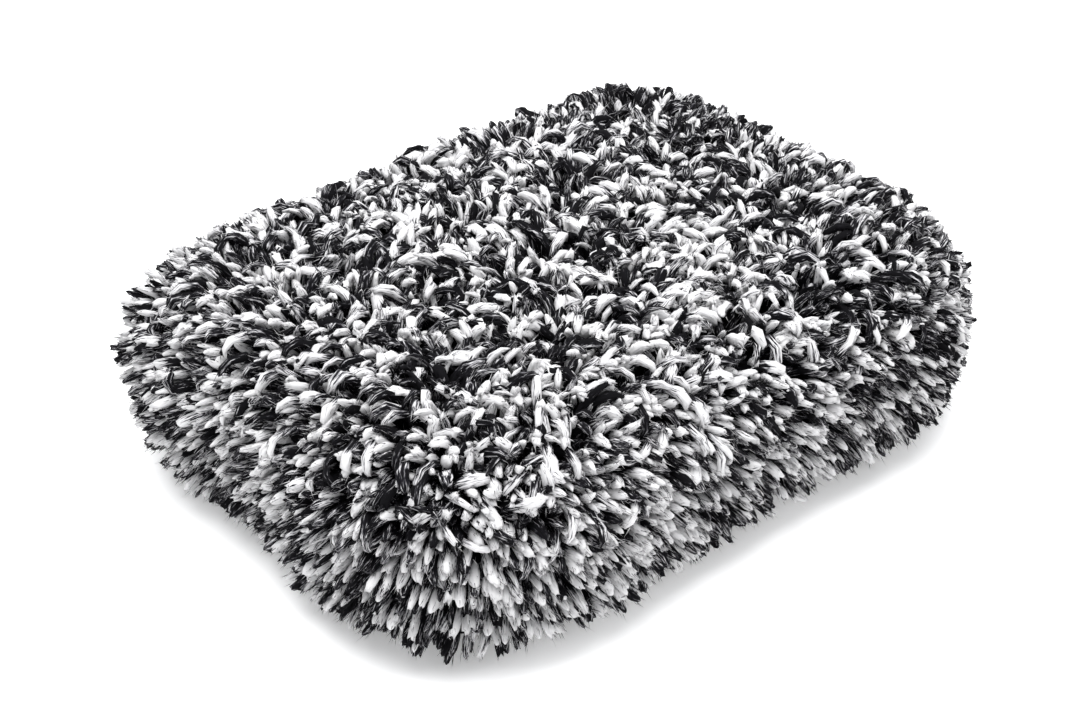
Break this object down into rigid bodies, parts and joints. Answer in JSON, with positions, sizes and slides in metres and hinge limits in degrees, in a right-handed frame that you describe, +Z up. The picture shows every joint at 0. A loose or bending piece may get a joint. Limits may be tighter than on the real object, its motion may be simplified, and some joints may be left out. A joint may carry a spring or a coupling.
{
  "type": "wash mitt",
  "caption": "Thick plush wash mitt: a rounded cushion of shaggy pile in two panels, with a foam-lined hand pocket and a ribbed elastic cuff at one end.",
  "frame": {"origin": "on the surface that the mitt rests on, under the middle of the pile's plan", "axes": "+X from the finger end towards the wrist opening, +Y across the hand, +Z up through the upper panel"},
  "size_m": [0.295, 0.22, 0.084],
  "materials": {
    "pile": "shaggy twisted microfibre tufts, off-white and charcoal mixed",
    "ground_cloth": "matt knitted ground cloth",
    "foam": "open-cell foam sheet",
    "lining": "smooth woven lining",
    "binding": "woven binding tape",
    "thread": "polyester sewing thread",
    "rib_knit": "ribbed knit",
    "elastic": "woven elastic"
  },
  "bodies": {
    "root": {"upper_pile": "pile", "lower_pile": "pile", "upper_ground_cloth": "ground_cloth", "lower_ground_cloth": "ground_cloth", "upper_foam": "foam", "lower_foam": "foam", "upper_lining": "lining", "lower_lining": "lining", "edge_binding": "binding", "edge_stitching": "thread", "rib_cuff": "rib_knit", "cuff_elastic": "elastic", "hem_stitching": "thread", "mouth_tape": "binding", "mouth_stitching": "thread"}
  },
  "joints": []
}
